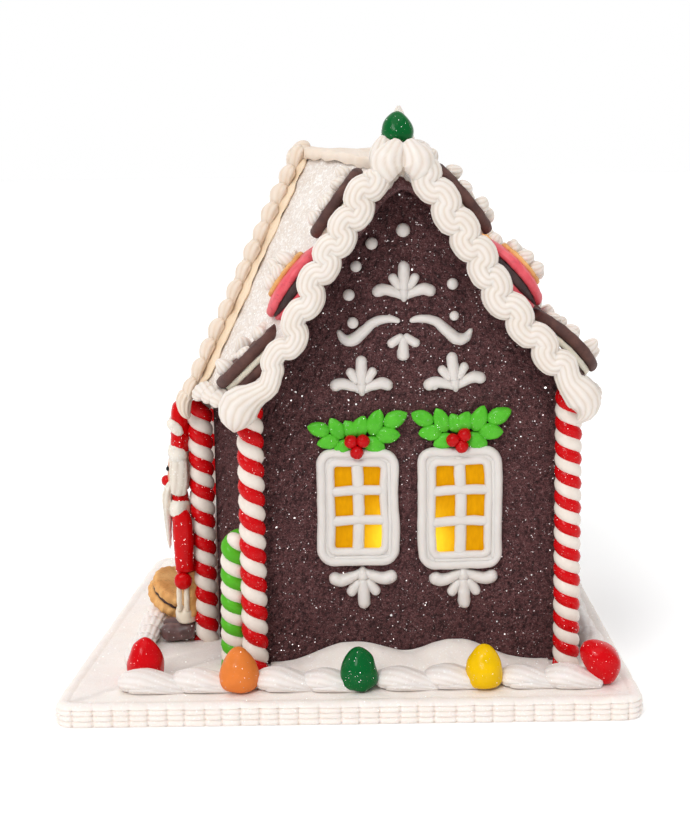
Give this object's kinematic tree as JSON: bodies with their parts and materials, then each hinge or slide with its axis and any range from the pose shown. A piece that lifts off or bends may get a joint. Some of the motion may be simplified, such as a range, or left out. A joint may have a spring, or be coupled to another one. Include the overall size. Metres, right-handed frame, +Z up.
{
  "type": "gingerbread house",
  "caption": "Light-up gingerbread house of modelling clay on a snowy icing board, with candy pillars, gumdrops, sandwich cookies and piped icing.",
  "frame": {"origin": "middle of the board's underside, at the centre of the object's box", "axes": "+Z up; the gable wall with the two windows faces -Y; the door side faces -X"},
  "size_m": [0.2812, 0.266, 0.288],
  "materials": {
    "board": "white icing with fine glitter",
    "snow": "white snow with glitter",
    "icing": "smooth off-white piped icing",
    "gingerbread": "porous dark gingerbread with sugar sparkle",
    "roof_snow": "white glittered icing",
    "red_white_candy": "glossy twisted stripes",
    "green_white_candy": "glossy twisted stripes",
    "gumdrop_red": "glossy with fine sugar",
    "gumdrop_orange": "glossy with fine sugar",
    "gumdrop_yellow": "glossy with fine sugar",
    "gumdrop_green": "glossy with fine sugar",
    "dark_wafer": "baked dark wafer",
    "cream": "soft white filling",
    "pink_shell": "matt pink shell",
    "dark_filling": "dark sparkling filling",
    "tan_cookie": "baked tan cookie",
    "window_icing": "smooth white icing lines",
    "figure_red": "glossy painted clay"
  },
  "bodies": {
    "root": {"board": "board", "border_back": "icing", "border_door": "icing", "border_far": "icing", "border_near": "icing", "cane_far": "green_white_candy", "cane_near": "green_white_candy", "cookie_left_lower_filling": "cream", "cookie_left_lower_wafer_inner": "dark_wafer", "cookie_left_lower_wafer_outer": "dark_wafer", "cookie_left_middle_filling": "dark_filling", "cookie_left_middle_wafer_inner": "pink_shell", "cookie_left_middle_wafer_outer": "pink_shell", "cookie_left_upper_filling": "cream", "cookie_left_upper_wafer_inner": "dark_wafer", "cookie_left_upper_wafer_outer": "dark_wafer", "cookie_right_lower_filling": "cream", "cookie_right_lower_wafer_inner": "dark_wafer", "cookie_right_lower_wafer_outer": "dark_wafer", "cookie_right_middle_filling": "dark_filling", "cookie_right_middle_wafer_inner": "pink_shell", "cookie_right_middle_wafer_outer": "pink_shell", "cookie_right_upper_filling": "cream", "cookie_right_upper_wafer_inner": "dark_wafer", "cookie_right_upper_wafer_outer": "dark_wafer", "drift_far": "snow", "drift_near": "snow", "eave_icing_back": "icing", "eave_icing_door": "icing", "eave_icing_far": "icing", "eave_icing_near": "icing", "figure": "figure_red", "gumdrop_green": "gumdrop_green", "gumdrop_orange": "gumdrop_orange", "gumdrop_red_back_corner": "gumdrop_red", "gumdrop_red_door_corner": "gumdrop_red", "gumdrop_top": "gumdrop_green", "gumdrop_yellow": "gumdrop_yellow", "hip_icing_far": "icing", "hip_icing_near": "icing", "house": "gingerbread", "pillar_back_far": "red_white_candy", "pillar_back_near": "red_white_candy", "pillar_corner_far": "red_white_candy", "pillar_corner_near": "red_white_candy", "pillar_door_far": "red_white_candy", "pillar_door_near": "red_white_candy", "rake_icing_far_left": "icing", "rake_icing_far_right": "icing", "rake_icing_near_left": "icing", "rake_icing_near_right": "icing", "roof": "roof_snow", "step_cookie": "tan_cookie", "tan_cookie_left_middle": "tan_cookie", "tan_cookie_right_middle": "tan_cookie", "top_dollop": "icing", "top_icing": "icing", "window_left": "window_icing", "window_right": "window_icing"}
  },
  "joints": []
}
